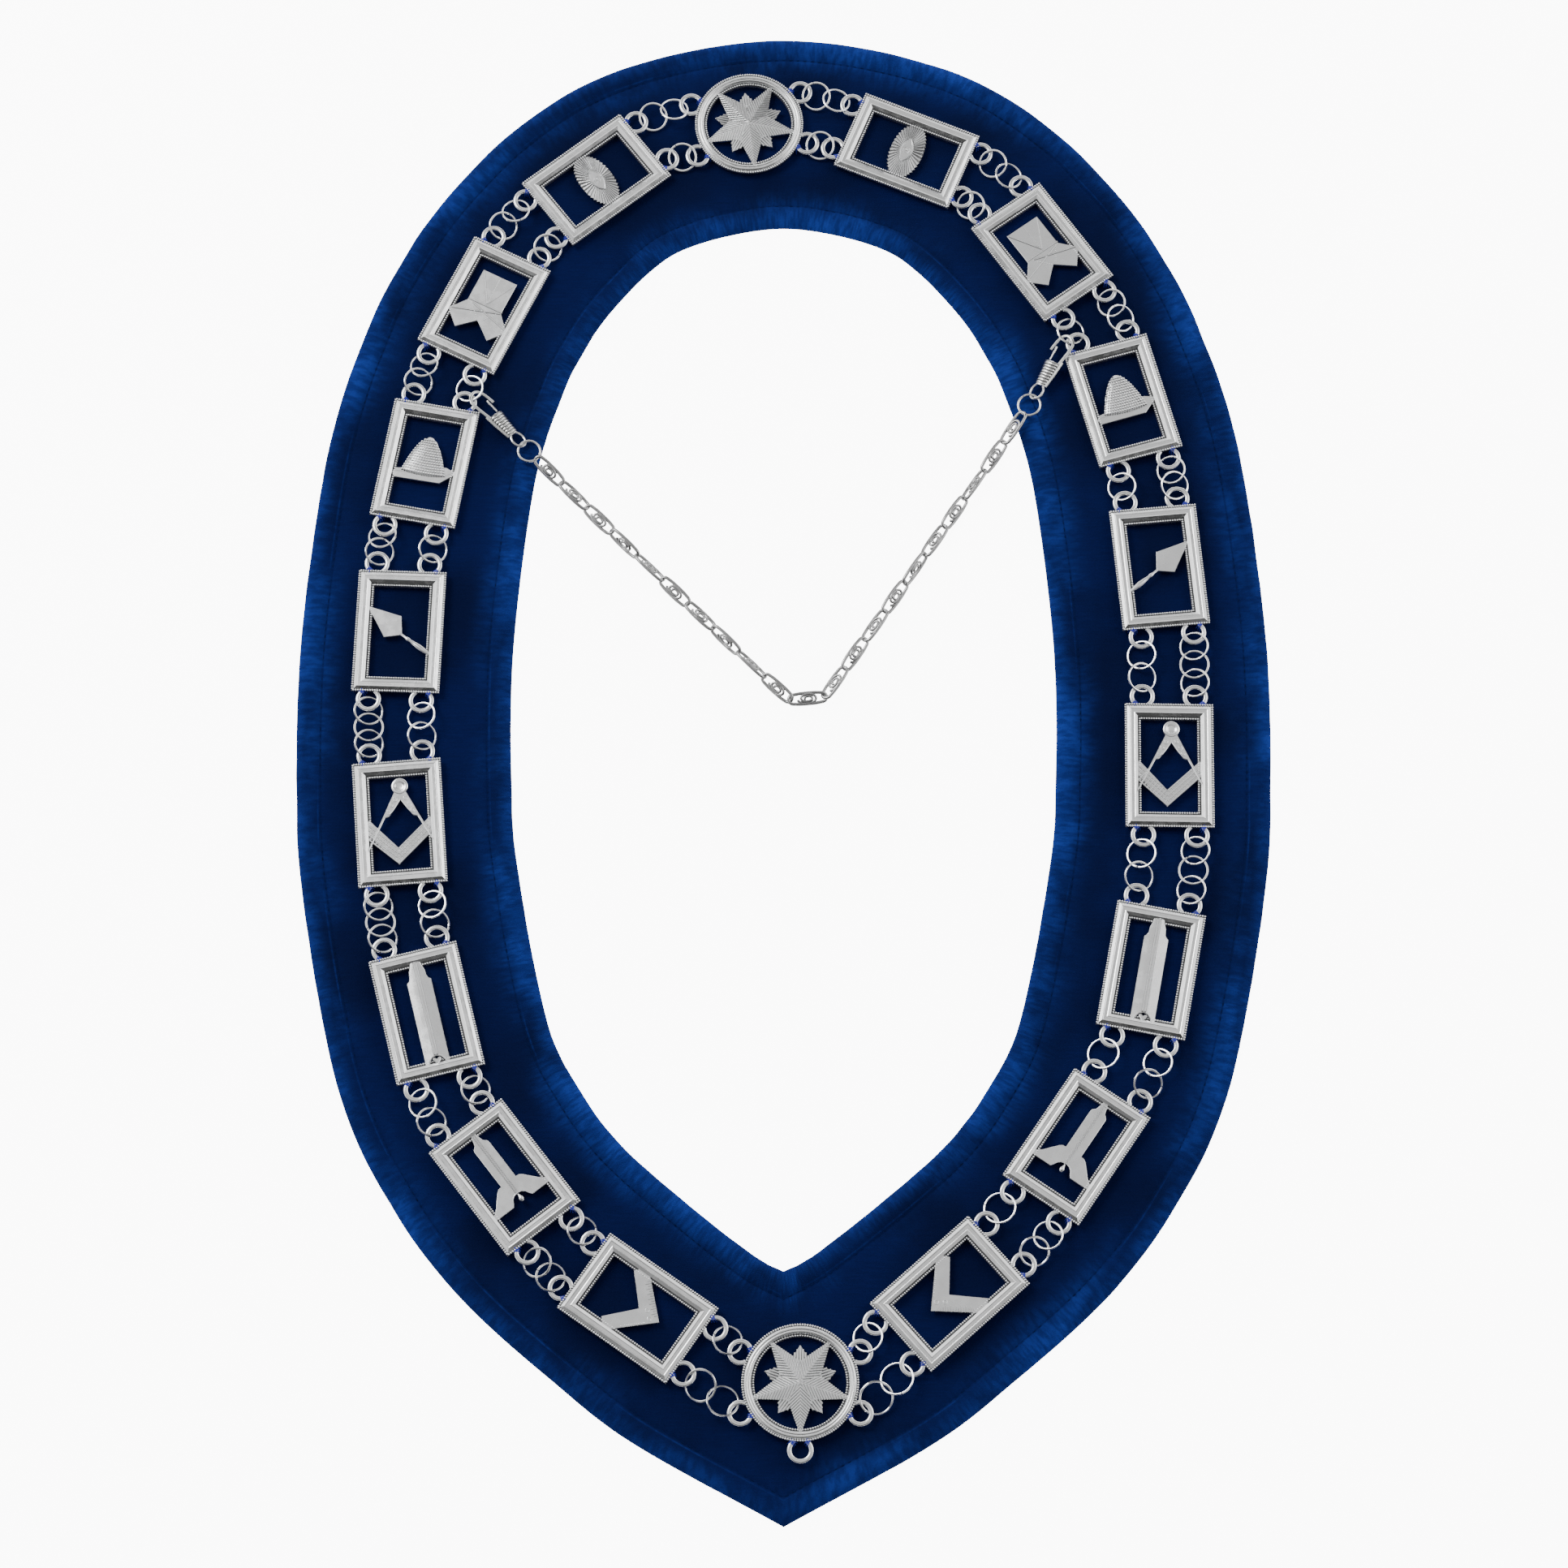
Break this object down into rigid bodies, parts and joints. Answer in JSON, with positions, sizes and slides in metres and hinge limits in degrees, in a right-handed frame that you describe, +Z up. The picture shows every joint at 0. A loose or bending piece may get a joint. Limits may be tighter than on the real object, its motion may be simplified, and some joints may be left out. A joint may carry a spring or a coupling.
{
  "type": "chain collar",
  "caption": "Teardrop velvet collar with a chain of framed oblong plates and round star plates joined by jump rings, and a light scroll chain on snap hooks across the neck.",
  "frame": {"origin": "centre of the bounding box, on the floor that the velvet lies on", "axes": "+Y from the point towards the neck curve, +X to the right in the picture, +Z up"},
  "size_m": [0.4412, 0.7014, 0.009],
  "materials": {
    "velvet": "royal blue cotton velvet",
    "silver": "bright silver plate"
  },
  "bodies": {
    "root": {"plate_beehive_left": "silver", "plate_beehive_right": "silver", "plate_compasses_left": "silver", "plate_compasses_right": "silver", "plate_eye_left": "silver", "plate_eye_right": "silver", "plate_level_left": "silver", "plate_level_right": "silver", "plate_plumb_left": "silver", "plate_plumb_right": "silver", "plate_problem_left": "silver", "plate_problem_right": "silver", "plate_square_left": "silver", "plate_square_right": "silver", "plate_trowel_left": "silver", "plate_trowel_right": "silver", "rings_inner_01": "silver", "rings_inner_02": "silver", "rings_inner_03": "silver", "rings_inner_04": "silver", "rings_inner_05": "silver", "rings_inner_06": "silver", "rings_inner_07": "silver", "rings_inner_08": "silver", "rings_inner_09": "silver", "rings_inner_10": "silver", "rings_inner_11": "silver", "rings_inner_12": "silver", "rings_inner_13": "silver", "rings_inner_14": "silver", "rings_inner_15": "silver", "rings_inner_16": "silver", "rings_inner_17": "silver", "rings_inner_18": "silver", "rings_outer_01": "silver", "rings_outer_02": "silver", "rings_outer_03": "silver", "rings_outer_04": "silver", "rings_outer_05": "silver", "rings_outer_06": "silver", "rings_outer_07": "silver", "rings_outer_08": "silver", "rings_outer_09": "silver", "rings_outer_10": "silver", "rings_outer_11": "silver", "rings_outer_12": "silver", "rings_outer_13": "silver", "rings_outer_14": "silver", "rings_outer_15": "silver", "rings_outer_16": "silver", "rings_outer_17": "silver", "rings_outer_18": "silver", "scroll_chain": "silver", "snap_hook_left": "silver", "snap_hook_right": "silver", "star_bottom": "silver", "star_top": "silver", "velvet_collar": "velvet"},
    "gate_left": {"hook_gate_left": "silver"},
    "gate_right": {"hook_gate_right": "silver"}
  },
  "joints": [
    {"name": "gate_left_hinge", "type": "hinge", "parent": "root", "child": "gate_left", "pos_m": [-0.13275, 0.16028, 0.00532], "axis": [0.2666, 0.2058, 0.9416], "range_deg": [0, 18], "stiffness_Nm_per_rad": 0.002, "springref_deg": -20.05},
    {"name": "gate_right_hinge", "type": "hinge", "parent": "root", "child": "gate_right", "pos_m": [0.12376, 0.18619, 0.0053], "axis": [0.2982, -0.1334, -0.9451], "range_deg": [0, 18], "stiffness_Nm_per_rad": 0.002, "springref_deg": -20.05}
  ]
}
